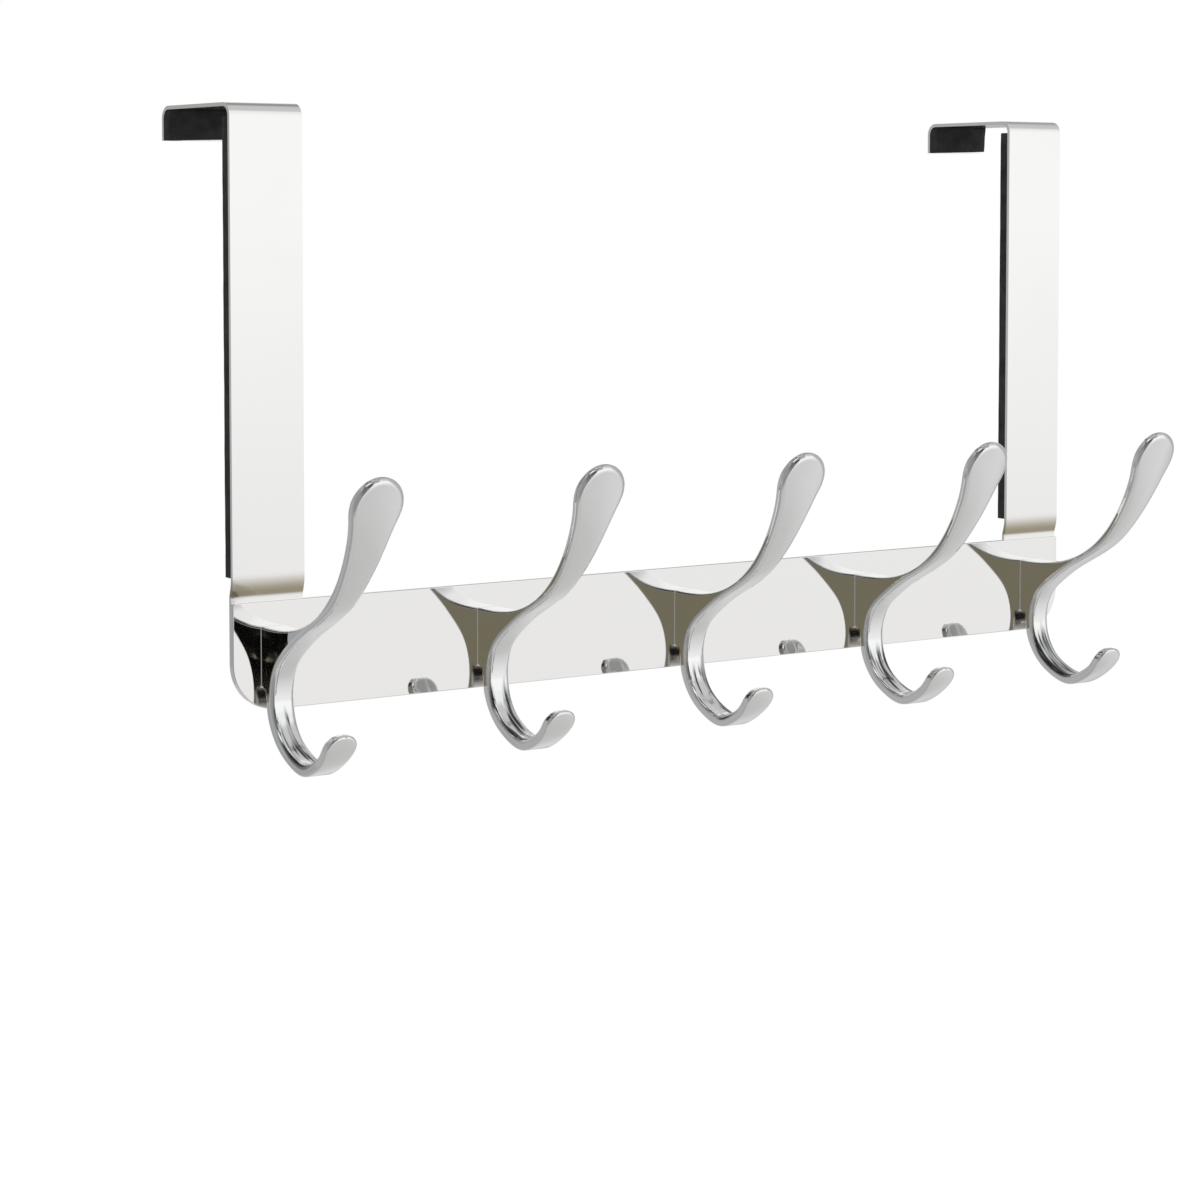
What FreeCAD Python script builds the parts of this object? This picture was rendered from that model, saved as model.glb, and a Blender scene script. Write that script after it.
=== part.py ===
import FreeCAD, Part
import math
import os

os.makedirs("parts", exist_ok=True)

V = FreeCAD.Vector
TINY = 1e-6
NEAR = 0.01

# Over-the-door rack: a polished rail with five double hooks, hung on two bent straps.
# Millimetres. X runs along the rail, Y back through the door, Z up. The origin is the
# middle of the door's top front edge: the strap pads press on the door at Y = 0 and
# the top plates lie on its edge at Z = 0.

# Sheet metal
STRAP_WIDTH = 25.4
STRAP_THICKNESS = 1.2
STRAP_HEIGHT = 188.9
BEND_RADIUS = 3.0
LIP_HEIGHT = 11.0
DOOR_GAP = 35.0
JOG_LENGTH = 4.0
JOG_ABOVE_RAIL = 1.6
JOG_LOW_RADIUS = 2.5
JOG_TOP_RADIUS = 12.0

RAIL_LENGTH = 348.0
RAIL_HEIGHT = 34.1
RAIL_THICKNESS = 1.2
RAIL_LOW_CORNER = 15.0
RAIL_TOP_CORNER = 1.0
RAIL_EDGE_ROUND = 0.3

# Foam pads
PAD_THICKNESS = 4.0
PAD_TOP_GAP = 0.1
PAD_LOW_GAP = 0.3
PAD_CORNER = 0.6

# Hooks
HOOK_COUNT = 5
HOOK_INSET = 1.3
WEB_WIDTH = 8.4
WEB_DEPTH = 22.4
WAIST = 10.0
NECK_RISE = 5.0
SEAT_LOW = 7.2
SEAT_TOP = 26.3
UNDERCUT_DEPTH = 2.9
ARM_THICKNESS = 3.1
UPPER_REACH = 66.8
UPPER_TOP = 77.6
PADDLE_WIDTH = 17.6
LOWER_THICKNESS = 3.6
LOWER_REACH = 45.0
LOWER_DROP = 17.1
LOWER_TOP = -2.2
CROOK_SHARE = 0.55
CROOK_WIDTH = 8.9
LOWER_TIP_WIDTH = 10.6
LOWER_TIP_CORNER = 4.4
FRONT_ROUND = 1.7
BACK_ROUND = 0.8
SEAT_ROUND = 0.3
# The middle of the foot's undercut, as shares of its depth out and down from the seat
UNDERCUT_MIDDLE = (0.8, 0.83)
# The tip widens from this share of the drop up
TIP_WIDENS_FROM = 0.75
# The front line of the web, as shares of its depth and of the seat's length, from the top
WEB_FRONT = [(1.0, 0.11), (0.81, 0.255), (0.625, 0.41), (0.455, 0.59), (0.35, 0.79), (0.303, 0.97), (0.295, 1.24)]

# Screws that hold each hook from behind
SCREW_RADIUS = 2.0
SCREW_HEAD_RADIUS = 3.6
SCREW_HEAD_HEIGHT = 1.9
# The head's rim as a share of its height, and a point of its dome as shares of radius and dome
SCREW_RIM = 0.45
SCREW_DOME = (0.72, 0.8)
SCREW_PITCH = 9.6
SCREW_LENGTH_RAIL = 6.0
SCREW_LENGTH_STRAP = 8.0
SCREW_CLEARANCE = 0.25
THREAD_CLEARANCE = 0.05
HOLE_END_GAP = 0.5
RECESS_WIDTH = 0.9
RECESS_SPAN = 3.8
RECESS_DEPTH = 0.9

# Places that follow from the sizes
STRAP_FRONT = -(PAD_THICKNESS + STRAP_THICKNESS)
RAIL_BACK = STRAP_FRONT + RAIL_THICKNESS
LEG_BACK = RAIL_BACK + STRAP_THICKNESS
RAIL_LOW = STRAP_THICKNESS - STRAP_HEIGHT
RAIL_TOP = RAIL_LOW + RAIL_HEIGHT
LIP_FRONT = DOOR_GAP + PAD_THICKNESS
LIP_LOW = STRAP_THICKNESS - LIP_HEIGHT
JOG_LOW = RAIL_TOP + JOG_ABOVE_RAIL
JOG_TOP = JOG_LOW + JOG_LENGTH
JOG_ANGLE = math.atan2(RAIL_THICKNESS, JOG_LENGTH)
JOG_END = JOG_TOP + (JOG_TOP_RADIUS + STRAP_THICKNESS / 2) * math.tan(JOG_ANGLE / 2)
STRAP_X = (RAIL_LENGTH - STRAP_WIDTH) / 2
END_HOOK_X = STRAP_X - HOOK_INSET
HOOK_PITCH = 2 * END_HOOK_X / (HOOK_COUNT - 1)
HOOK_X = [HOOK_PITCH * i - END_HOOK_X for i in range(HOOK_COUNT)]
SCREW_MIDDLE = RAIL_LOW + (SEAT_LOW + SEAT_TOP) / 2
SCREW_Z = [SCREW_MIDDLE - SCREW_PITCH / 2, SCREW_MIDDLE + SCREW_PITCH / 2]
HOLE_DEPTH = SCREW_LENGTH_STRAP - RAIL_THICKNESS - STRAP_THICKNESS + HOLE_END_GAP


def unit(vector):
    return vector / vector.Length


def left_of(direction):
    """The direction turned a quarter turn to the left, in the YZ plane."""
    return V(0, -direction.z, direction.y)


def corner_arc(corner, before, after, radius):
    """An arc tangent to two straight runs, and the points where it meets them."""
    turn = before.getAngle(after)
    setback = radius * math.tan(turn / 2)
    start = corner - before * setback
    end = corner + after * setback
    inward = unit(after - before)
    middle = corner + inward * (radius / math.cos(turn / 2) - radius)
    return start, end, Part.Arc(start, middle, end).toShape()


def sheet_side(corners, directions, shift, radii):
    """One face line of a bent sheet, shifted to the left of its middle line."""
    edges = []
    here = corners[0] + left_of(directions[0]) * shift
    for i in range(1, len(corners) - 1):
        before = directions[i - 1]
        after = directions[i]
        normals = left_of(before) + left_of(after)
        corner = corners[i] + normals * (shift / (1 + left_of(before).dot(left_of(after))))
        turns_left = left_of(before).dot(after) > 0
        radius = radii[i - 1] - shift if turns_left else radii[i - 1] + shift
        start, end, arc = corner_arc(corner, before, after, radius)
        edges.append(Part.LineSegment(here, start).toShape())
        edges.append(arc)
        here = end
    last = corners[-1] + left_of(directions[-1]) * shift
    edges.append(Part.LineSegment(here, last).toShape())
    return edges, last


def bent_sheet(corners, inner_radii, thickness, width):
    """A sheet of one thickness bent along a path in the YZ plane, centred on X = 0."""
    directions = [unit(b - a) for a, b in zip(corners, corners[1:])]
    radii = [radius + thickness / 2 for radius in inner_radii]
    left, left_end = sheet_side(corners, directions, thickness / 2, radii)
    right, right_end = sheet_side(corners, directions, -thickness / 2, radii)
    far_cap = Part.LineSegment(left_end, right_end).toShape()
    start = corners[0]
    across = left_of(directions[0]) * (thickness / 2)
    near_cap = Part.LineSegment(start + across, start - across).toShape()
    wire = Part.Wire(Part.__sortEdges__(left + [far_cap] + right + [near_cap]))
    solid = Part.Face(wire).extrude(V(width, 0, 0))
    solid.translate(V(-width / 2, 0, 0))
    return solid


def edges_where(shape, test):
    """The edges of a shape whose middle point passes a test."""
    found = []
    for edge in shape.Edges:
        middle = edge.valueAt((edge.FirstParameter + edge.LastParameter) / 2)
        if test(edge, middle):
            found.append(edge)
    return found


def runs_along(edge, axis):
    """Whether an edge starts mainly in the direction of an axis."""
    tangent = edge.tangentAt(edge.FirstParameter)
    return tangent.cross(axis).Length < abs(tangent.dot(axis))


def along_y(edge):
    """Whether an edge is a straight one that runs through a plate."""
    if not isinstance(edge.Curve, Part.Line):
        return False
    return abs(abs(edge.tangentAt(edge.FirstParameter).y) - 1) < TINY


def y_cylinder(radius, x, y, z, length):
    """A round bar along Y, from one point back."""
    return Part.makeCylinder(radius, length, V(x, y, z), V(0, 1, 0))


def screw_holes(positions, front, thickness):
    """The clearance holes through a plate, one at every screw of the hooks at these positions."""
    radius = SCREW_RADIUS + SCREW_CLEARANCE
    return Part.makeCompound([y_cylinder(radius, x, front, z, thickness) for x in positions for z in SCREW_Z])


def make_rail():
    """The flat front plate: small upper corners, large lower ones, holes for the screws."""
    plate = Part.makeBox(RAIL_LENGTH, RAIL_THICKNESS, RAIL_HEIGHT, V(-RAIL_LENGTH / 2, STRAP_FRONT, RAIL_LOW))
    middle_z = (RAIL_LOW + RAIL_TOP) / 2
    low = edges_where(plate, lambda edge, at: along_y(edge) and at.z < middle_z)
    plate = plate.makeFillet(RAIL_LOW_CORNER, low)
    top = edges_where(plate, lambda edge, at: along_y(edge) and at.z > middle_z and abs(at.x) > STRAP_X)
    plate = plate.makeFillet(RAIL_TOP_CORNER, [edge for edge in top if abs(edge.Vertexes[0].Z - RAIL_TOP) < TINY])
    front = edges_where(plate, lambda edge, at: abs(at.y - STRAP_FRONT) < TINY)
    plate = plate.makeFillet(RAIL_EDGE_ROUND, front)
    return plate.cut(screw_holes(HOOK_X, STRAP_FRONT, RAIL_THICKNESS))


def make_strap(side):
    """One bent strap: a leg behind the rail, a jog, the long leg, the top plate and the lip."""
    half = STRAP_THICKNESS / 2
    path = [
        V(0, RAIL_BACK + half, RAIL_LOW),
        V(0, RAIL_BACK + half, JOG_LOW),
        V(0, STRAP_FRONT + half, JOG_TOP),
        V(0, STRAP_FRONT + half, half),
        V(0, LIP_FRONT + half, half),
        V(0, LIP_FRONT + half, LIP_LOW),
    ]
    radii = [JOG_LOW_RADIUS, JOG_TOP_RADIUS, BEND_RADIUS, BEND_RADIUS]
    strap = bent_sheet(path, radii, STRAP_THICKNESS, STRAP_WIDTH)
    strap.translate(V(side * STRAP_X, 0, 0))
    outer = side * RAIL_LENGTH / 2
    low = edges_where(strap, lambda edge, at: along_y(edge) and at.z < RAIL_LOW + TINY and abs(at.x - outer) < TINY)
    strap = strap.makeFillet(RAIL_LOW_CORNER, low)
    return strap.cut(screw_holes([side * END_HOOK_X], RAIL_BACK, STRAP_THICKNESS))


def make_strap_pad(side):
    """The long foam strip on the back of a strap's leg."""
    low = JOG_END + PAD_LOW_GAP
    height = -BEND_RADIUS - PAD_TOP_GAP - low
    corner = V(side * STRAP_X - STRAP_WIDTH / 2, STRAP_FRONT + STRAP_THICKNESS, low)
    pad = Part.makeBox(STRAP_WIDTH, PAD_THICKNESS, height, corner)
    ends = edges_where(pad, lambda edge, at: at.y > -TINY and runs_along(edge, V(1, 0, 0)))
    return pad.makeFillet(PAD_CORNER, ends)


def make_lip_pad(side):
    """The short foam pad inside a lip, with its upper edge tucked into the bend."""
    corner = V(side * STRAP_X - STRAP_WIDTH / 2, DOOR_GAP, LIP_LOW)
    pad = Part.makeBox(STRAP_WIDTH, PAD_THICKNESS, -LIP_LOW, corner)
    along_x = edges_where(pad, lambda edge, at: runs_along(edge, V(1, 0, 0)))
    tucked = [edge for edge in along_x if edge.Vertexes[0].Y > LIP_FRONT - TINY and edge.Vertexes[0].Z > -TINY]
    pad = pad.makeFillet(BEND_RADIUS, tucked)
    low = edges_where(pad, lambda edge, at: at.y < DOOR_GAP + TINY and at.z < LIP_LOW + TINY)
    return pad.makeFillet(PAD_CORNER, low)


def curve(points):
    """A smooth curve through points given as (distance in front of the rail, height)."""
    spline = Part.BSplineCurve()
    spline.interpolate([V(0, -out, up) for out, up in points])
    return spline


def beside(line, shift, shares):
    """Points at one distance to the left of a line, at shares of its length."""
    points = []
    span = line.LastParameter - line.FirstParameter
    for share in shares:
        at = line.FirstParameter + span * share
        point = line.value(at) + left_of(unit(line.tangent(at)[0])) * shift
        points.append((-point.y, point.z))
    return points


def upper_back():
    """The line over the top of the web and up the back of the upper arm, run past its tip."""
    shares = [(0, 0), (0.154, 0), (0.311, 0.028), (0.473, 0.104), (0.62, 0.235), (0.754, 0.423), (0.865, 0.653), (0.949, 0.89), (1.01, 1.08)]
    rise = UPPER_TOP - SEAT_TOP
    return curve([(out * UPPER_REACH, SEAT_TOP + up * rise) for out, up in shares])


def lower_back():
    """The line from the seat's lower end round the outside of the lower arm, run past its tip."""
    shares = [(0.064, 0.15), (0.07, -0.03), (0.1, -0.24), (0.225, -0.65), (0.375, -0.88),
              (0.57, -1.0), (0.745, -0.85), (0.88, -0.6), (0.97, -0.28), (1.01, 0.15)]
    return curve([(out * LOWER_REACH, up * LOWER_DROP) for out, up in shares])


def hook_front(upper, lower):
    """The line under the upper arm, down the front of the web and round inside the lower arm."""
    under = beside(upper, ARM_THICKNESS, [1.0, 0.86, 0.72, 0.58, 0.48])
    web = [(out * WEB_DEPTH, SEAT_TOP - down * (SEAT_TOP - SEAT_LOW)) for out, down in WEB_FRONT]
    inside = beside(lower, -LOWER_THICKNESS, [0.2, 0.31, 0.42, 0.53, 0.64, 0.75, 0.87, 1.0])
    return curve(under + web + inside)


def hook_profile():
    """The side view of a hook: seat on the rail, web, upper arm and lower arm."""
    upper = upper_back()
    lower = lower_back()
    front = hook_front(upper, lower)
    out, down = UNDERCUT_MIDDLE
    middle = (out * UNDERCUT_DEPTH, SEAT_LOW - down * UNDERCUT_DEPTH)
    undercut = curve([(0, SEAT_LOW), middle] + beside(lower, 0, [0]))
    edges = [part.toShape() for part in (upper, front, lower, undercut)]
    edges += polyline([V(0, 0, SEAT_TOP), V(0, 0, SEAT_LOW)])
    edges += polyline([upper.value(upper.LastParameter), front.value(front.FirstParameter)])
    edges += polyline([lower.value(lower.LastParameter), front.value(front.LastParameter)])
    return Part.Wire(Part.__sortEdges__(edges))


def flare(points, along):
    """A side line of an outline that starts and ends in the same direction."""
    spline = Part.BSplineCurve()
    spline.interpolate(Points=points, InitialTangent=along, FinalTangent=along)
    return spline.toShape()


def polyline(points):
    return [Part.LineSegment(a, b).toShape() for a, b in zip(points, points[1:])]


def face_of(edges):
    return Part.Face(Part.Wire(Part.__sortEdges__(edges)))


def upper_outline():
    """The front view of the upper arm: straight at the web, widening to a round paddle."""
    half = WEB_WIDTH / 2
    radius = PADDLE_WIDTH / 2
    centre = UPPER_TOP - radius
    neck = SEAT_TOP + NECK_RISE
    edges = polyline([V(-half, 0, neck), V(-half, 0, WAIST), V(half, 0, WAIST), V(half, 0, neck)])
    widths = [(0, 0), (0.17, 0.33), (0.45, 0.62), (0.8, 0.86), (1, 1)]
    for sign in (-1, 1):
        points = [V(sign * (half + (radius - half) * out), 0, neck + (centre - neck) * up) for out, up in widths]
        edges.append(flare(points, V(0, 0, 1)))
    edges.append(Part.Arc(V(-radius, 0, centre), V(0, 0, UPPER_TOP), V(radius, 0, centre)).toShape())
    return face_of(edges)


def lower_outline():
    """The lower arm seen from above, up to its lowest point: as wide as the web, then a little wider."""
    half = WEB_WIDTH / 2
    wide = CROOK_WIDTH / 2
    end = -CROOK_SHARE * LOWER_REACH
    edges = polyline([V(-half, -WEB_WIDTH, 0), V(-half, 0, 0), V(half, 0, 0), V(half, -WEB_WIDTH, 0)])
    edges += polyline([V(-wide, end, 0), V(wide, end, 0)])
    for sign in (-1, 1):
        edges.append(flare([V(sign * half, -WEB_WIDTH, 0), V(sign * wide, end, 0)], V(0, -1, 0)))
    return face_of(edges)


def tip_outline():
    """The front view of the lower arm's rising tip: widening, with two rounded corners."""
    wide = CROOK_WIDTH / 2
    half = LOWER_TIP_WIDTH / 2
    radius = LOWER_TIP_CORNER
    low = -TIP_WIDENS_FROM * LOWER_DROP
    shoulder = LOWER_TOP - radius
    edges = polyline([V(-wide, 0, low), V(-wide, 0, -2 * LOWER_DROP), V(wide, 0, -2 * LOWER_DROP), V(wide, 0, low)])
    edges += polyline([V(radius - half, 0, LOWER_TOP), V(half - radius, 0, LOWER_TOP)])
    slant = radius * math.sqrt(0.5)
    for sign in (-1, 1):
        edges.append(flare([V(sign * wide, 0, low), V(sign * half, 0, shoulder)], V(0, 0, 1)))
        middle = V(sign * (half - radius + slant), 0, shoulder + slant)
        edges.append(Part.Arc(V(sign * half, 0, shoulder), middle, V(sign * (half - radius), 0, LOWER_TOP)).toShape())
    return face_of(edges)


def hook_width_body():
    """What the side view is trimmed to, so that each stretch has its own width."""
    upper = upper_outline().extrude(V(0, -2 * UPPER_REACH, 0))
    crook = lower_outline().extrude(V(0, 0, WAIST + 2 * LOWER_DROP))
    crook.translate(V(0, 0, -2 * LOWER_DROP))
    tip = tip_outline().extrude(V(0, -LOWER_REACH, 0))
    tip.translate(V(0, -CROOK_SHARE * LOWER_REACH, 0))
    return upper.fuse([crook, tip])


def curved_edges(hook, front, nearest, farthest):
    """The curved edges off the seat, by their distance from the front line in the side view."""
    line = front.toShape()

    def wanted(edge, at):
        if isinstance(edge.Curve, Part.Line) or abs(at.y) < TINY:
            return False
        gap = Part.Vertex(V(0, at.y, at.z)).distToShape(line)[0]
        return nearest <= gap <= farthest
    return edges_where(hook, wanted)


def seat_sides(hook):
    """The two upright edges where a hook's sides meet its seat on the rail."""
    def wanted(edge, at):
        return abs(at.y) < TINY and isinstance(edge.Curve, Part.Line) and runs_along(edge, V(0, 0, 1))
    return edges_where(hook, wanted)


def make_hook():
    """One cast double hook: trimmed from its side view, rounded, with two tapped blind holes."""
    front = hook_front(upper_back(), lower_back())
    blank = Part.Face(hook_profile()).extrude(V(2 * PADDLE_WIDTH, 0, 0))
    blank.translate(V(-PADDLE_WIDTH, 0, 0))
    hook = blank.common(hook_width_body()).removeSplitter()
    hook = hook.makeFillet(FRONT_ROUND, curved_edges(hook, front, 0, NEAR))
    hook = hook.makeFillet(BACK_ROUND, curved_edges(hook, front, ARM_THICKNESS - BACK_ROUND / 2, UPPER_TOP))
    hook = hook.makeFillet(SEAT_ROUND, seat_sides(hook))
    hook.translate(V(0, STRAP_FRONT, RAIL_LOW))
    radius = SCREW_RADIUS + THREAD_CLEARANCE
    holes = [y_cylinder(radius, 0, STRAP_FRONT - HOLE_DEPTH, z, HOLE_DEPTH) for z in SCREW_Z]
    return hook.cut(Part.makeCompound(holes))


def make_screw(seat, length):
    """A pan head screw at X = 0 and Z = 0: its head on the plane Y = seat, its shank forward."""
    radius = SCREW_HEAD_RADIUS
    rim = seat + SCREW_RIM * SCREW_HEAD_HEIGHT
    top = seat + SCREW_HEAD_HEIGHT
    out, up = SCREW_DOME
    dome = V(out * radius, rim + up * (top - rim), 0)
    outline = polyline([V(0, top, 0), V(0, seat - length, 0), V(SCREW_RADIUS, seat - length, 0),
                        V(SCREW_RADIUS, seat, 0), V(radius, seat, 0), V(radius, rim, 0)])
    outline.append(Part.Arc(V(radius, rim, 0), dome, V(0, top, 0)).toShape())
    screw = face_of(outline).revolve(V(0, 0, 0), V(0, 1, 0), 360)
    half = RECESS_SPAN / 2
    slot = Part.makeBox(RECESS_SPAN, 2 * RECESS_DEPTH, RECESS_WIDTH, V(-half, top - RECESS_DEPTH, -RECESS_WIDTH / 2))
    cross = Part.makeBox(RECESS_WIDTH, 2 * RECESS_DEPTH, RECESS_SPAN, V(-RECESS_WIDTH / 2, top - RECESS_DEPTH, -half))
    return screw.cut([slot, cross])


def screw_set(positions, seat, length):
    """One screw at every screw height of the hooks at these positions."""
    screw = make_screw(seat, length)
    screws = []
    for x in positions:
        for z in SCREW_Z:
            copy = screw.copy()
            copy.translate(V(x, 0, z))
            screws.append(copy)
    return Part.makeCompound(screws)


def export(name, shape):
    shape.exportStep(f"parts/{name}.step")


export("rail", make_rail())
for label, side in (("left", -1), ("right", 1)):
    export(f"strap_{label}", make_strap(side))
    export(f"strap_pad_{label}", make_strap_pad(side))
    export(f"lip_pad_{label}", make_lip_pad(side))
hook = make_hook()
for number, x in enumerate(HOOK_X, start=1):
    placed = hook.copy()
    placed.translate(V(x, 0, 0))
    export(f"hook_{number}", placed)
export("middle_hook_screws", screw_set(HOOK_X[1:-1], RAIL_BACK, SCREW_LENGTH_RAIL))
export("end_hook_screws", screw_set([HOOK_X[0], HOOK_X[-1]], LEG_BACK, SCREW_LENGTH_STRAP))
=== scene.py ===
# %% [markdown]
# An over-the-door rack. A polished steel rail carries five chrome double hooks, and two bent
# steel straps hang it over the top edge of a door. Black foam keeps the metal off the paint.
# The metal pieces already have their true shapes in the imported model, so this lesson frames
# and lights them and gives them finishes. The foam is modelled here, at the end.

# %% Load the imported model
import math

import bpy
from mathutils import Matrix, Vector


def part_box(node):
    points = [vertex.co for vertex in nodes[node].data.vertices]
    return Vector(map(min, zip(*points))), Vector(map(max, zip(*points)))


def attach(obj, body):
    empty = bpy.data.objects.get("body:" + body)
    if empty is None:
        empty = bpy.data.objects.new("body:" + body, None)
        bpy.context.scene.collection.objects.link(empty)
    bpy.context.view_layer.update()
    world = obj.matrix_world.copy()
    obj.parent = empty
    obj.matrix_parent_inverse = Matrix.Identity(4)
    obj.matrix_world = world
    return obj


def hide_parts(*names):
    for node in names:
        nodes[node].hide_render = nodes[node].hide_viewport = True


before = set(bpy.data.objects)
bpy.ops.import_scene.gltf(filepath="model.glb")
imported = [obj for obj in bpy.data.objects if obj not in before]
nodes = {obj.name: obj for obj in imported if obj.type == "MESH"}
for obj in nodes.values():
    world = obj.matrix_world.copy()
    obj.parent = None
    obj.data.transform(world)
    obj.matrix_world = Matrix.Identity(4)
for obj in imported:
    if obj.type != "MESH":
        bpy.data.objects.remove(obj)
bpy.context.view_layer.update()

MM = 0.001
scene = bpy.context.scene
print("pieces in the model:", len(nodes))


# %% [markdown]
# The camera comes first, because it decides which reflections matter. The photograph was
# taken from the left, with the camera tipped 3.5 degrees down. The upright lines stay parallel
# to the picture's edges only with a vertical shift, as on a view camera, so the lens has one.

# %% Camera
CAMERA_PLACE = (-0.6107, -0.8269, -0.0344)  # in metres
TURN_RIGHT = 35.0  # in degrees
TIP_DOWN = 3.5
LENS_LENGTH = 90.1  # in mm
LENS_SHIFT = -0.1652


def aim_camera():
    """A camera at the photograph's viewpoint."""
    lens = bpy.data.cameras.new("camera")
    lens.sensor_width = 36
    lens.lens = LENS_LENGTH
    lens.shift_y = LENS_SHIFT
    lens.clip_start = 0.05
    lens.clip_end = 50
    camera = bpy.data.objects.new("camera", lens)
    camera.location = CAMERA_PLACE
    camera.rotation_euler = (math.radians(90 - TIP_DOWN), 0, math.radians(-TURN_RIGHT))
    scene.collection.objects.link(camera)
    scene.camera = camera
    return camera


camera = aim_camera()
print("camera distance in m:", round(camera.location.length, 3))


# %% [markdown]
# Every finish and the studio are built from shader nodes. A few helpers keep that readable:
# one adds a node with its settings, the others mix colours, multiply masks and make a soft
# step from one value to another.

# %% Helpers for node trees
def add_node(tree, kind, **values):
    """A new node with some of its settings or input sockets filled in."""
    node = tree.nodes.new(kind)
    for name, value in values.items():
        if hasattr(node, name):
            setattr(node, name, value)
        else:
            node.inputs[name.replace("_", " ")].default_value = value
    return node


def grey(level, warmth=0.0):
    """A grey as a linear colour, a little warmer or cooler."""
    return (level * (1 + warmth), level, level * (1 - warmth), 1)


def mix_colours(tree, factor, first, second):
    """A colour between two, each given as a colour or as a socket."""
    node = add_node(tree, "ShaderNodeMix", data_type="RGBA")
    for slot, value in ((0, factor), (6, first), (7, second)):
        if isinstance(value, bpy.types.NodeSocket):
            tree.links.new(value, node.inputs[slot])
        else:
            node.inputs[slot].default_value = value
    return node.outputs[2]


def times(tree, first, second):
    """The product of two sockets, or of a socket and a number."""
    node = add_node(tree, "ShaderNodeMath", operation="MULTIPLY")
    tree.links.new(first, node.inputs[0])
    if isinstance(second, bpy.types.NodeSocket):
        tree.links.new(second, node.inputs[1])
    else:
        node.inputs[1].default_value = second
    return node.outputs[0]


def soft_step(tree, value, start, end):
    """A mask that rises smoothly from 0, where a socket's value is start, to 1 at end."""
    step = add_node(
        tree, "ShaderNodeMapRange", interpolation_type="SMOOTHSTEP", From_Min=start, From_Max=end
    )
    tree.links.new(value, step.inputs["Value"])
    return step.outputs["Result"]


print("a middle grey, warmed:", grey(0.5, 0.1))


# %% [markdown]
# Polished metal has almost no colour of its own: what shows is the studio round it. A real
# studio could be copied with card and lamps, but every card has a hard edge. Here the studio
# is one smooth sky instead, with a tone for each height and a few soft patches, and only
# reflections see it. The camera sees plain white, and matt pieces get an even light.

# %% Tones of the studio
# From -1 for straight down to 1 for straight up, each with its tone.
TONES = [
    (-1.0, grey(0.50, 0.01)), (-0.77, grey(0.56, 0.01)), (-0.62, grey(0.66)), (-0.35, grey(0.78)),
    (-0.16, grey(0.86, 0.005)), (-0.1, grey(0.87)), (-0.04, grey(0.95)), (0.0, grey(1.0)), (0.3, grey(0.97)),
    (0.5, grey(0.8)), (0.64, grey(0.62)), (1.0, grey(0.5)),
]
# Each patch has an azimuth and an elevation, the half-angles at which it is full and gone,
# all in degrees, and its colour. Later ones lie over earlier ones.
PATCHES = [
    (-128, -8, 36, 62, grey(0.34)),  # the dim left end, behind the rack
    (-58, -4, 32, 52, grey(0.28)),  # the dim side round the camera
    (-50, 26, 12, 34, grey(0.15)),  # a darker shade above the camera
    (-75, 52, 8, 16, grey(1.0)),  # a lamp high on the left
    (105, 12, 30, 58, grey(0.45)),  # the dimmer right end
    (36, 38, 14, 26, grey(0.9)),  # a bright card high in front, to the right
    (-26, 19, 6, 16, grey(0.03)),  # a dark opening in front, over eye level
    (-37, -9, 8.5, 12, (0.18, 0.163, 0.112, 1)),  # olive cloth just under the camera
    (-28.5, -6.8, 1.7, 2.3, grey(0.002)),  # a black spot at the cloth's edge
    (-145, -16, 17, 30, grey(0.42)),  # behind the rack's left end, low
    (-152, -9, 2, 5, grey(0.36, -0.04)),  # a small cool spot in it
    (-151, 4, 3, 8, grey(0.38, 0.04)),  # a small warm spot over it
    (146, -12, 8, 16, grey(0.5, -0.05)),  # behind the rack's right end, low
    (178, -25, 4, 18, grey(0.55, 0.02)),  # straight behind the rack, lower
    (62, 54, 12, 30, grey(0.58)),  # high on the right, in the straps' upper bends
    (135, 46, 6, 22, grey(0.3)),  # farther back, at the upper edge of those bends
]
CLUTTER = grey(0.04, 0.05)
CLUTTER_SCALE = 2.4
CLUTTER_EDGE = (0.45, 0.57)  # of the noise, from clear sky to full clutter
OVERHEAD = (0.35, 0.6)  # the heights between which clutter sets in
MATT_LEVEL = grey(0.55)  # what matt pieces get


def direction(azimuth, elevation):
    """A unit vector: azimuth from straight ahead of the rack towards +X, in degrees."""
    a = math.radians(azimuth)
    e = math.radians(elevation)
    return Vector((math.sin(a) * math.cos(e), -math.cos(a) * math.cos(e), math.sin(e)))


print("tones:", len(TONES), "patches:", len(PATCHES))


# %% The studio as a sky
def lay_patch(tree, ray, place, below):
    """A soft round patch on the sky."""
    azimuth, elevation, inner, outer, colour = place
    dot = add_node(tree, "ShaderNodeVectorMath", operation="DOT_PRODUCT")
    tree.links.new(ray, dot.inputs[0])
    dot.inputs[1].default_value = direction(azimuth, elevation)
    mask = soft_step(
        tree, dot.outputs["Value"], math.cos(math.radians(outer)), math.cos(math.radians(inner))
    )
    return mix_colours(tree, mask, below, colour)


def lay_clutter(tree, ray, height, below):
    """Dark shapes overhead, as lamps, stands and a ceiling leave them in a curved mirror."""
    blots = add_node(tree, "ShaderNodeTexNoise", Scale=CLUTTER_SCALE, Detail=3.0, Distortion=1.5)
    tree.links.new(ray, blots.inputs["Vector"])
    shapes = soft_step(tree, blots.outputs["Fac"], *CLUTTER_EDGE)
    overhead = soft_step(tree, height, *OVERHEAD)
    return mix_colours(tree, times(tree, shapes, overhead), below, CLUTTER)


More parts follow.
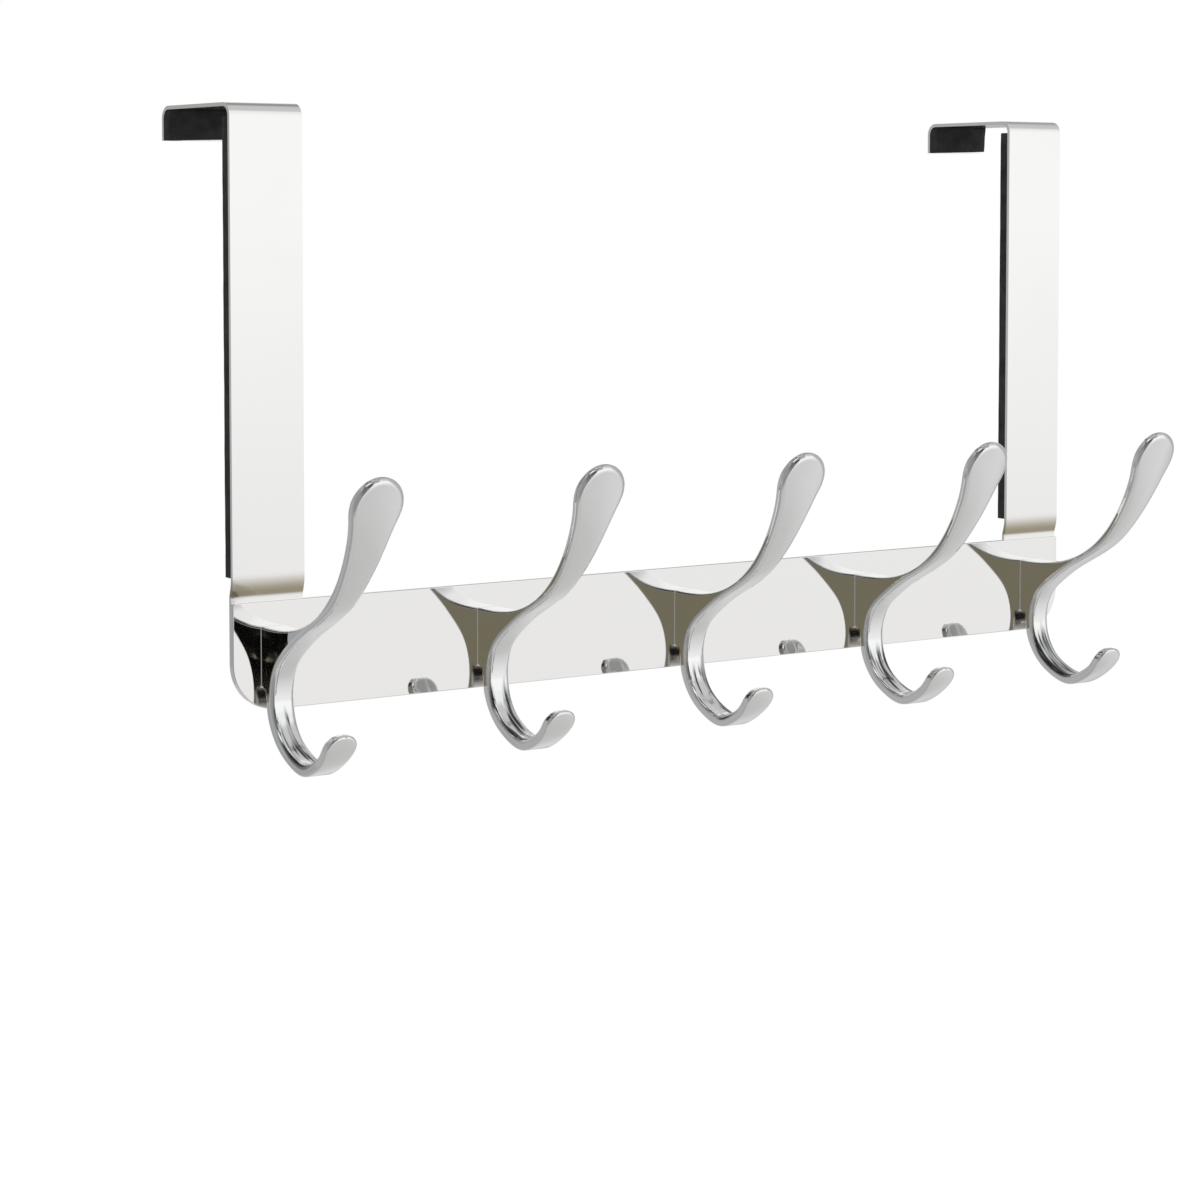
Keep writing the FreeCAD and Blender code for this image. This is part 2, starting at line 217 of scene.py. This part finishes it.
def build_studio():
    """White for the camera, the toned sky for reflections, and a plain level for the rest."""
    world = bpy.data.worlds.new("studio")
    scene.world = world
    world.use_nodes = True
    tree = world.node_tree
    tree.nodes.clear()
    place = add_node(tree, "ShaderNodeTexCoord")
    split = add_node(tree, "ShaderNodeSeparateXYZ")
    tree.links.new(place.outputs["Generated"], split.inputs["Vector"])
    height = add_node(tree, "ShaderNodeMapRange", From_Min=-1.0)
    tree.links.new(split.outputs["Z"], height.inputs["Value"])
    ramp = add_node(tree, "ShaderNodeValToRGB")
    stops = ramp.color_ramp.elements
    for up, colour in TONES[1:-1]:
        stops.new((up + 1) / 2).color = colour
    stops[0].color = TONES[0][1]
    stops[-1].color = TONES[-1][1]
    tree.links.new(height.outputs["Result"], ramp.inputs["Fac"])
    sky = lay_clutter(tree, place.outputs["Generated"], split.outputs["Z"], ramp.outputs["Color"])
    for one in PATCHES:
        sky = lay_patch(tree, place.outputs["Generated"], one, sky)
    ray = add_node(tree, "ShaderNodeLightPath")
    plain = mix_colours(tree, ray.outputs["Is Glossy Ray"], MATT_LEVEL, sky)
    seen = mix_colours(tree, ray.outputs["Is Camera Ray"], plain, grey(1.0))
    light = add_node(tree, "ShaderNodeBackground")
    tree.links.new(seen, light.inputs["Color"])
    out = add_node(tree, "ShaderNodeOutputWorld")
    tree.links.new(light.outputs["Background"], out.inputs["Surface"])
    return world


scene.view_settings.view_transform = "Standard"
studio = build_studio()
print("studio nodes:", len(studio.node_tree.nodes))


# %% [markdown]
# The rack hangs on a door, so the floor lies far below it. A wide pale plane is enough. It
# shows white to the camera, like the photograph's background, and keeps a faint shadow. Two
# large lamps give the matt foam some shape. They are hidden from reflections, which have
# the sky.

# %% Floor
FLOOR_SIZE = 9
FLOOR_HEIGHT = -1.3
FLOOR_WHITE = 1.06
WHITE_SHARE = 0.92  # of what the camera sees; the rest is matt and keeps the shadow


def lay_floor():
    """A wide pale floor under the rack."""
    bpy.ops.object.select_all(action="DESELECT")
    bpy.ops.mesh.primitive_plane_add(size=FLOOR_SIZE, location=(0, 0, FLOOR_HEIGHT))
    floor = bpy.context.object
    floor.name = "floor"
    floor.visible_glossy = False
    material = bpy.data.materials.new("pale_floor")
    material.use_nodes = True
    tree = material.node_tree
    tree.nodes.clear()
    matt = add_node(tree, "ShaderNodeBsdfDiffuse", Color=grey(0.75))
    white = add_node(tree, "ShaderNodeEmission", Color=grey(1.0), Strength=FLOOR_WHITE)
    ray = add_node(tree, "ShaderNodeLightPath")
    mixed = add_node(tree, "ShaderNodeMixShader")
    tree.links.new(times(tree, ray.outputs["Is Camera Ray"], WHITE_SHARE), mixed.inputs["Fac"])
    tree.links.new(matt.outputs[0], mixed.inputs[1])
    tree.links.new(white.outputs[0], mixed.inputs[2])
    out = add_node(tree, "ShaderNodeOutputMaterial")
    tree.links.new(mixed.outputs[0], out.inputs["Surface"])
    floor.data.materials.append(material)
    return floor


floor = lay_floor()
print("stage:", floor.name, "at z in m:", FLOOR_HEIGHT)


# %% Lamps
LAMP_DISTANCE = 1.8
LAMP_SIZE = 1.2


def hang_lamp(name, azimuth, elevation, watts):
    """A square soft lamp that looks at the middle of the door's top edge."""
    lamp = bpy.data.lights.new(name, "AREA")
    lamp.size = LAMP_SIZE
    lamp.energy = watts
    holder = bpy.data.objects.new(name, lamp)
    holder.location = direction(azimuth, elevation) * LAMP_DISTANCE
    holder.rotation_euler = holder.location.to_track_quat("Z", "Y").to_euler()
    holder.visible_glossy = False
    scene.collection.objects.link(holder)
    return holder


lamps = [hang_lamp("key_lamp", 40, 35, 14), hang_lamp("back_lamp", 150, 40, 8)]
print("lamps:", [(lamp.name, lamp.data.energy) for lamp in lamps])


# %% [markdown]
# Four metals: the mirror-polished rail, the straps of the same sheet with a softer polish,
# the hooks' chrome over a casting, and dull zinc on the screws. They share two effects, so
# each is a node group with its own values in each material. Handling leaves faint smudges,
# which only change the roughness. Rolled sheet and polished castings are never quite flat,
# which bends reflections.

# %% Shared effect: handling smudges
def group_sockets(group, inputs, output):
    """Names the inputs, each with its first value, and the one output of a node group."""
    for name, value in inputs:
        socket = group.interface.new_socket(name, in_out="INPUT", socket_type="NodeSocketFloat")
        socket.default_value = value
    group.interface.new_socket(output, in_out="OUTPUT", socket_type="NodeSocketFloat")


def make_smudges():
    """A roughness that wanders between clean metal and faint smudges."""
    group = bpy.data.node_groups.new("handling_smudges", "ShaderNodeTree")
    group_sockets(group, [("Clean", 0.03), ("Smudged", 0.1), ("Scale", 25.0)], "Roughness")
    start = add_node(group, "NodeGroupInput")
    end = add_node(group, "NodeGroupOutput")
    place = add_node(group, "ShaderNodeTexCoord")
    noise = add_node(group, "ShaderNodeTexNoise", Detail=4.0, Distortion=0.6)
    group.links.new(place.outputs["Object"], noise.inputs["Vector"])
    group.links.new(start.outputs["Scale"], noise.inputs["Scale"])
    level = add_node(
        group, "ShaderNodeMapRange", interpolation_type="SMOOTHSTEP", From_Min=0.45, From_Max=0.75
    )
    group.links.new(noise.outputs["Fac"], level.inputs["Value"])
    group.links.new(start.outputs["Clean"], level.inputs["To Min"])
    group.links.new(start.outputs["Smudged"], level.inputs["To Max"])
    group.links.new(level.outputs["Result"], end.inputs["Roughness"])
    return group


smudges = make_smudges()
print("effect ready:", smudges.name)


# %% Shared effect: waviness
LINE_STRETCH = (1.0, 1.0, 0.03)  # draws the fine lines out upwards


def make_waviness():
    """A height field of long, shallow waves, with fine lines along one axis."""
    group = bpy.data.node_groups.new("polished_waviness", "ShaderNodeTree")
    group_sockets(group, [("Wave Scale", 40.0), ("Line Scale", 900.0), ("Line Share", 0.1)], "Height")
    start = add_node(group, "NodeGroupInput")
    end = add_node(group, "NodeGroupOutput")
    place = add_node(group, "ShaderNodeTexCoord")
    waves = add_node(group, "ShaderNodeTexNoise", Detail=1.0)
    group.links.new(place.outputs["Object"], waves.inputs["Vector"])
    group.links.new(start.outputs["Wave Scale"], waves.inputs["Scale"])
    squeeze = add_node(group, "ShaderNodeMapping", Scale=LINE_STRETCH)
    group.links.new(place.outputs["Object"], squeeze.inputs["Vector"])
    lines = add_node(group, "ShaderNodeTexNoise", Detail=2.0)
    group.links.new(squeeze.outputs["Vector"], lines.inputs["Vector"])
    group.links.new(start.outputs["Line Scale"], lines.inputs["Scale"])
    share = add_node(group, "ShaderNodeMath", operation="MULTIPLY_ADD")
    group.links.new(lines.outputs["Fac"], share.inputs[0])
    group.links.new(start.outputs["Line Share"], share.inputs[1])
    group.links.new(waves.outputs["Fac"], share.inputs[2])
    group.links.new(share.outputs[0], end.inputs["Height"])
    return group


waviness = make_waviness()
print("effect ready:", waviness.name)


# %% Metal finishes
def use_group(tree, group, **values):
    """A shared effect placed in a material, with its own values."""
    node = tree.nodes.new("ShaderNodeGroup")
    node.node_tree = group
    for name, value in values.items():
        node.inputs[name.replace("_", " ")].default_value = value
    return node


def metal(name, colour, clean, smudged, smudge_scale, wave_scale, line_share, wave_height):
    """A polished metal with smudges in its roughness and waves in its surface."""
    material = bpy.data.materials.new(name)
    material.use_nodes = True
    tree = material.node_tree
    surface = tree.nodes["Principled BSDF"]
    surface.inputs["Base Color"].default_value = colour
    surface.inputs["Metallic"].default_value = 1.0
    rough = use_group(tree, smudges, Clean=clean, Smudged=smudged, Scale=smudge_scale)
    tree.links.new(rough.outputs[0], surface.inputs["Roughness"])
    shape = use_group(tree, waviness, Wave_Scale=wave_scale, Line_Share=line_share)
    raised = add_node(tree, "ShaderNodeBump", Strength=1.0, Distance=wave_height)
    tree.links.new(shape.outputs[0], raised.inputs["Height"])
    tree.links.new(raised.outputs["Normal"], surface.inputs["Normal"])
    return material


rail_polish = metal(
    "rail_polish", (0.93, 0.925, 0.915, 1), clean=0.02, smudged=0.07, smudge_scale=22,
    wave_scale=14, line_share=0.02, wave_height=0.04 * MM,
)
strap_polish = metal(
    "strap_polish", (0.94, 0.935, 0.925, 1), clean=0.12, smudged=0.2, smudge_scale=18,
    wave_scale=12, line_share=0.12, wave_height=0.06 * MM,
)
casting_chrome = metal(
    "casting_chrome", (0.93, 0.935, 0.935, 1), clean=0.015, smudged=0.04, smudge_scale=60,
    wave_scale=150, line_share=0.0, wave_height=0.07 * MM,
)
screw_zinc = metal(
    "screw_zinc", (0.62, 0.62, 0.6, 1), clean=0.25, smudged=0.4, smudge_scale=300,
    wave_scale=300, line_share=0.2, wave_height=0.05 * MM,
)
print("metals:", [one.name for one in (rail_polish, strap_polish, casting_chrome, screw_zinc)])


# %% [markdown]
# No tool reaches every corner of a polished piece. The hollow under each hook's foot keeps a
# dull skin, whose dark colour is painted shade, darkest in a pit. The straps' jogs get a
# straw-coloured painted shade. The wheel can't get into the hooks' crooks, which stay wavy and
# duller, with dark streaks that are painted reflections. Each such place is a mask made from the
# object's own coordinates, so that it stays where it belongs in every view.

# %% Masks by place
def object_axes(tree):
    """The object coordinates, split into their axes."""
    place = add_node(tree, "ShaderNodeTexCoord")
    split = add_node(tree, "ShaderNodeSeparateXYZ")
    tree.links.new(place.outputs["Object"], split.inputs["Vector"])
    return split


def facing_axes(tree):
    """The direction in which the surface faces, split into its axes."""
    facing = add_node(tree, "ShaderNodeNewGeometry")
    split = add_node(tree, "ShaderNodeSeparateXYZ")
    tree.links.new(facing.outputs["Normal"], split.inputs["Vector"])
    return split


def fade(tree, split, axis, start, ends):
    """A mask along an axis, counted from a start: full at the first end, gone at the second."""
    full, gone = ends
    return soft_step(tree, split.outputs[axis], start + gone, start + full)


def make_duller(tree, mask, roughness):
    """Another roughness where a mask says so."""
    surface = tree.nodes["Principled BSDF"]
    dull = add_node(tree, "ShaderNodeMix")
    tree.links.new(mask, dull.inputs[0])
    tree.links.new(surface.inputs["Roughness"].links[0].from_socket, dull.inputs[2])
    dull.inputs[3].default_value = roughness
    tree.links.new(dull.outputs[0], surface.inputs["Roughness"])


RAIL_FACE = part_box("rail")[0].y
RAIL_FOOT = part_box("rail")[0].z
RAIL_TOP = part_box("rail")[1].z
print("rail from", round(RAIL_FOOT / MM, 1), "to", round(RAIL_TOP / MM, 1), "mm")


# %% The hollow under each hook's foot
# Painted shade: the dark colour in the hollow under each hook's foot, darker still in its pit.
HOLLOW_SHADE = (0.3, 0.27, 0.2, 1)
PIT_SHADE = grey(0.04, 0.1)
SKIN_ROUGHNESS = 0.6
HOLLOW_REACH = (-2.6 * MM, -3.4 * MM)  # from the rail's face
HOLLOW_TOP = (6.6 * MM, 7.4 * MM)  # from the rail's lower edge, as the pit's ends
PIT_TOP = (5.6 * MM, 6.6 * MM)
PIT_BOTTOM = (3.4 * MM, 2.2 * MM)


def roughen_and_shade_undercut(material):
    """A dull skin in the hollow, rougher than the chrome, coloured with painted shade that is darkest in the
    pit.
    """
    tree = material.node_tree
    surface = tree.nodes["Principled BSDF"]
    split = object_axes(tree)
    hollow = times(
        tree,
        fade(tree, split, "Y", RAIL_FACE, HOLLOW_REACH),
        fade(tree, split, "Z", RAIL_FOOT, HOLLOW_TOP),
    )
    pit = times(
        tree,
        fade(tree, split, "Z", RAIL_FOOT, PIT_TOP),
        fade(tree, split, "Z", RAIL_FOOT, PIT_BOTTOM),
    )
    shaded_skin = mix_colours(tree, pit, HOLLOW_SHADE, PIT_SHADE)
    colour = mix_colours(tree, hollow, surface.inputs["Base Color"].default_value[:], shaded_skin)
    tree.links.new(colour, surface.inputs["Base Color"])
    make_duller(tree, hollow, SKIN_ROUGHNESS)


roughen_and_shade_undercut(casting_chrome)
print("undercut:", len(casting_chrome.node_tree.nodes), "nodes in the chrome")


# %% The straps' jogs
# Painted shade: a straw-coloured darkening on the straps' jogs over the rail's top edge.
JOG_SHADE = (0.44, 0.39, 0.28, 1)
JOG_SHADE_TOP = (3.0 * MM, 9.5 * MM)  # from the rail's upper edge
JOG_SHADE_BOTTOM = (2.4 * MM, 1.4 * MM)


def shade_jogs(material):
    """Straw-coloured painted shade over the rail's top edge, most of all low in the bend."""
    tree = material.node_tree
    surface = tree.nodes["Principled BSDF"]
    split = object_axes(tree)
    bend = times(
        tree,
        fade(tree, split, "Z", RAIL_TOP, JOG_SHADE_TOP),
        fade(tree, split, "Z", RAIL_TOP, JOG_SHADE_BOTTOM),
    )
    colour = mix_colours(tree, bend, surface.inputs["Base Color"].default_value[:], JOG_SHADE)
    tree.links.new(colour, surface.inputs["Base Color"])


shade_jogs(strap_polish)
print("jogs:", len(strap_polish.node_tree.nodes), "nodes in the strap polish")


# %% [markdown]
# A casting's faces aren't flat either. They crown, which spreads a reflection across them.
# The hooks stand one pitch apart, so that wrapping X by the pitch gives each one its own
# middle line. Inside the crooks, the waves and the painted reflection streaks run along the arm.

# %% Heights of the castings
CROWN = 14.0  # fall of a casting's face, in metres for each square metre across
CROOK_WAVE = 0.6 * MM
CROOK_SCALE = 110.0
HOOK_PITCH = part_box("hook_2")[0].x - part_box("hook_1")[0].x


def crown_height(tree, split):
    """How far a face falls away from its hook's middle line."""
    across = add_node(tree, "ShaderNodeMath", operation="WRAP")
    tree.links.new(split.outputs["X"], across.inputs[0])
    across.inputs[1].default_value = HOOK_PITCH / 2
    across.inputs[2].default_value = -HOOK_PITCH / 2
    return times(tree, times(tree, across.outputs[0], across.outputs[0]), -CROWN)


def crook_height(tree, place, crook):
    """Waves along the arm, only in the crooks."""
    waves = add_node(tree, "ShaderNodeTexNoise", Scale=CROOK_SCALE, Detail=0.0, Distortion=0.5)
    tree.links.new(place, waves.inputs["Vector"])
    return times(tree, times(tree, waves.outputs["Fac"], crook), CROOK_WAVE)


def raise_surface(tree, first, second):
    """Bends the surface by two heights together, under the bump that it already has."""
    height = add_node(tree, "ShaderNodeMath", operation="ADD")
    tree.links.new(first, height.inputs[0])
    tree.links.new(second, height.inputs[1])
    raised = add_node(tree, "ShaderNodeBump", Strength=1.0, Distance=1.0)
    tree.links.new(height.outputs[0], raised.inputs["Height"])
    fine = tree.nodes["Principled BSDF"].inputs["Normal"].links[0].from_node
    tree.links.new(raised.outputs["Normal"], fine.inputs["Normal"])


print("hook pitch in mm:", round(HOOK_PITCH / MM, 2))


# %% Crooks of the castings
CROOK_STRETCH = (3.0, 0.25, 0.25)  # narrow across the arm, long along it
CROOK_ROUGHNESS = 0.1
# Painted reflection: the dark streaks in the crooks' colour stand in for dark things mirrored there.
REFLECTION_STREAK_SCALE = 190.0
REFLECTION_STREAK = grey(0.08, -0.05)
REFLECTION_STREAK_EDGE = (0.48, 0.62)  # of the noise, from clean metal to a full streak
CROOK_FACING = (0.15, -0.25)  # how far up the surface faces
CROOK_TOP = (4 * MM, 16 * MM)  # from the rail's lower edge
BOTTOM_FACING = (0.4, 0.05)
BOTTOM_REACH = (-28 * MM, -40 * MM)  # from the rail's face
BOTTOM_TOP = (-3 * MM, 7 * MM)  # from the rail's lower edge


def paint_reflection_streaks(tree, place, bottom):
    """Dark streaks at the bottom of each crook, painted reflections of dark things mirrored there."""
    streaks = add_node(tree, "ShaderNodeTexNoise", Scale=REFLECTION_STREAK_SCALE, Detail=1.0, Distortion=0.5)
    tree.links.new(place, streaks.inputs["Vector"])
    dark = soft_step(tree, streaks.outputs["Fac"], *REFLECTION_STREAK_EDGE)
    surface = tree.nodes["Principled BSDF"]
    clean = surface.inputs["Base Color"].links[0].from_socket
    colour = mix_colours(tree, times(tree, dark, bottom), clean, REFLECTION_STREAK)
    tree.links.new(colour, surface.inputs["Base Color"])


def shape_castings(material):
    """Crowned faces all over, and duller, wavy crooks with dark streaks of painted reflection."""
    tree = material.node_tree
    split = object_axes(tree)
    turned = facing_axes(tree)
    crook = times(
        tree,
        fade(tree, turned, "Z", 0, CROOK_FACING),
        fade(tree, split, "Z", RAIL_FOOT, CROOK_TOP),
    )
    inside = times(
        tree,
        fade(tree, turned, "Z", 0, BOTTOM_FACING),
        fade(tree, split, "Y", RAIL_FACE, BOTTOM_REACH),
    )
    bottom = times(tree, inside, fade(tree, split, "Z", RAIL_FOOT, BOTTOM_TOP))
    place = add_node(tree, "ShaderNodeTexCoord")
    stretch = add_node(tree, "ShaderNodeMapping", Scale=CROOK_STRETCH)
    tree.links.new(place.outputs["Object"], stretch.inputs["Vector"])
    along = stretch.outputs["Vector"]
    make_duller(tree, crook, CROOK_ROUGHNESS)
    paint_reflection_streaks(tree, along, bottom)
    raise_surface(tree, crown_height(tree, split), crook_height(tree, along, crook))


shape_castings(casting_chrome)
print("castings:", len(casting_chrome.node_tree.nodes), "nodes in the chrome")


# %% [markdown]
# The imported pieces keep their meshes. Only what is in their material slots changes, and the
# pieces of one finish share one material.

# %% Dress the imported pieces
def dress(node_names, material):
    """Gives CAD nodes a finish without touching their meshes."""
    for name in node_names:
        slots = nodes[name].data.materials
        slots.clear()
        slots.append(material)


dress(["rail"], rail_polish)
dress(["strap_left", "strap_right"], strap_polish)
dress([f"hook_{number}" for number in range(1, 6)], casting_chrome)
dress(["middle_hook_screws", "end_hook_screws"], screw_zinc)
print("rail wears:", nodes["rail"].data.materials[0].name)


# %% [markdown]
# The foam is closed-cell strip, cut from a roll and stuck to the metal. A box would show it
# as plastic. Cut foam has soft, slightly wandering edges, a face that crowns a little
# between them, and tiny cells that take the light unevenly.

# %% Foam finish
FOAM_DARK = grey(0.018)
FOAM_DUSTY = grey(0.042)


def make_foam():
    """Black foam: cells as small pits, dusty high spots and a dull surface."""
    material = bpy.data.materials.new("black_foam")
    material.use_nodes = True
    tree = material.node_tree
    surface = tree.nodes["Principled BSDF"]
    surface.inputs["Roughness"].default_value = 0.85
    place = add_node(tree, "ShaderNodeTexCoord")
    cells = add_node(tree, "ShaderNodeTexVoronoi", Scale=1600.0)
    tree.links.new(place.outputs["Object"], cells.inputs["Vector"])
    dust = add_node(tree, "ShaderNodeTexNoise", Scale=220.0, Detail=5.0)
    tree.links.new(place.outputs["Object"], dust.inputs["Vector"])
    shade = add_node(tree, "ShaderNodeMapRange", From_Min=0.35, From_Max=0.7)
    tree.links.new(dust.outputs["Fac"], shade.inputs["Value"])
    colour = mix_colours(tree, shade.outputs["Result"], FOAM_DARK, FOAM_DUSTY)
    tree.links.new(colour, surface.inputs["Base Color"])
    pits = add_node(tree, "ShaderNodeBump", Strength=0.6, Distance=0.1 * MM)
    tree.links.new(cells.outputs["Distance"], pits.inputs["Height"])
    tree.links.new(pits.outputs["Normal"], surface.inputs["Normal"])
    return material


foam = make_foam()
print("finish ready:", foam.name)


# %% Steps that every pad goes through
SLOW_WAVE = 0.31  # of a cut edge, in radians for each mm
QUICK_WAVE = 0.83
SMOOTH_ANGLE = 50  # in degrees; sharper edges stay sharp
WAVE_OFFSET = 40  # in radians for each metre, so that the two sides wander differently


def start_pad(name, low, high):
    """A box that fills the CAD pad's space."""
    bpy.ops.object.select_all(action="DESELECT")
    bpy.ops.mesh.primitive_cube_add(size=1, location=(low + high) / 2, scale=high - low)
    bpy.ops.object.transform_apply(location=True, rotation=True, scale=True)
    pad = bpy.context.object
    pad.name = name
    return pad


def slice_pad(pad, axis, step):
    """Cuts the pad across one axis, so that its edges can wander and its face can crown."""
    low = Vector(pad.bound_box[0])
    high = Vector(pad.bound_box[6])
    count = max(2, round((high[axis] - low[axis]) / step))
    normal = Vector((0, 0, 0))
    normal[axis] = 1
    bpy.ops.object.mode_set(mode="EDIT")
    for i in range(1, count):
        place = low.copy()
        place[axis] += (high[axis] - low[axis]) * i / count
        bpy.ops.mesh.select_all(action="SELECT")
        bpy.ops.mesh.bisect(plane_co=place, plane_no=normal)
    bpy.ops.object.mode_set(mode="OBJECT")


def soften_pad(pad, edge_round, wander, crown, door_side):
    """Rounds the cut edges, crowns the face towards the door and lets the edges wander."""
    bevel = pad.modifiers.new("round", "BEVEL")
    bevel.width = edge_round
    bevel.segments = 3
    bevel.limit_method = "ANGLE"
    bpy.ops.object.modifier_apply(modifier=bevel.name)
    low = Vector(pad.bound_box[0])
    high = Vector(pad.bound_box[6])
    middle = (low + high) / 2
    half = (high - low) / 2
    for vertex in pad.data.vertices:
        place = vertex.co
        across = (place.x - middle.x) / half.x
        along = (place.z - middle.z) / half.z
        if (place.y - middle.y) * door_side > 0:
            place.y -= door_side * crown * (across ** 4 + 0.4 * along ** 8)
        slow = math.sin(place.z / MM * SLOW_WAVE + middle.x * WAVE_OFFSET)
        quick = math.cos(place.z / MM * QUICK_WAVE)
        inwards = 0.5 + 0.5 * slow * quick
        place.x -= math.copysign(wander * inwards * abs(across) ** 6, across)
    bpy.ops.object.shade_smooth_by_angle(angle=math.radians(SMOOTH_ANGLE))


def finish_pad(pad, node):
    """The pad takes the CAD node's place, its body and the foam finish."""
    pad.data.materials.append(foam)
    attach(pad, "root")
    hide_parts(node)


# %% Long strips
STRIP_SLICES = (4 * MM, 5 * MM)  # across and up


def make_strip(side):
    """The long strip on the back of one strap's leg."""
    node = f"strap_pad_{side}"
    low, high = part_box(node)
    pad = start_pad(f"foam_strip_{side}", low, high)
    slice_pad(pad, 2, STRIP_SLICES[1])
    slice_pad(pad, 0, STRIP_SLICES[0])
    soften_pad(pad, edge_round=0.3 * MM, wander=0.12 * MM, crown=0.15 * MM, door_side=1)
    finish_pad(pad, node)
    return pad


print("slices of a strip in mm:", [round(step / MM, 1) for step in STRIP_SLICES])


# %% Lip pads
LIP_SLICES = (2.5 * MM, 1.6 * MM)  # across and up
LIP_SLANT = 0.9 * MM  # how far the right end draws in towards its foot
LIP_LIFT = 0.7 * MM  # how far that end's foot stands higher
LIP_SQUEEZE = 1.5 * MM  # how far the plate presses the upper back edge down
SQUEEZED = 0.75  # the share of the height at which that starts


def squeeze_lip_pad(pad, low, high):
    """A slanting right end, and an upper back edge that the top plate presses down."""
    for vertex in pad.data.vertices:
        place = vertex.co
        right = (place.x - low.x) / (high.x - low.x)
        up = (place.z - low.z) / (high.z - low.z)
        back = (place.y - low.y) / (high.y - low.y)
        place.x -= LIP_SLANT * right * max(0.0, 1 - up) ** 0.5
        place.z += LIP_LIFT * right * (1 - up)
        if up > SQUEEZED and back > 0.5:
            place.z -= LIP_SQUEEZE * (up - SQUEEZED) / (1 - SQUEEZED) * (back - 0.5) / 0.5


def make_lip_pad(side):
    """The short pad inside one lip."""
    node = f"lip_pad_{side}"
    low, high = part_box(node)
    pad = start_pad(f"foam_lip_{side}", low, high)
    slice_pad(pad, 0, LIP_SLICES[0])
    slice_pad(pad, 2, LIP_SLICES[1])
    soften_pad(pad, edge_round=0.35 * MM, wander=0.12 * MM, crown=0.2 * MM, door_side=-1)
    squeeze_lip_pad(pad, low, high)
    finish_pad(pad, node)
    return pad


pads = [make(side) for side in ("left", "right") for make in (make_strip, make_lip_pad)]
print("foam pads:", [(pad.name, len(pad.data.vertices)) for pad in pads])
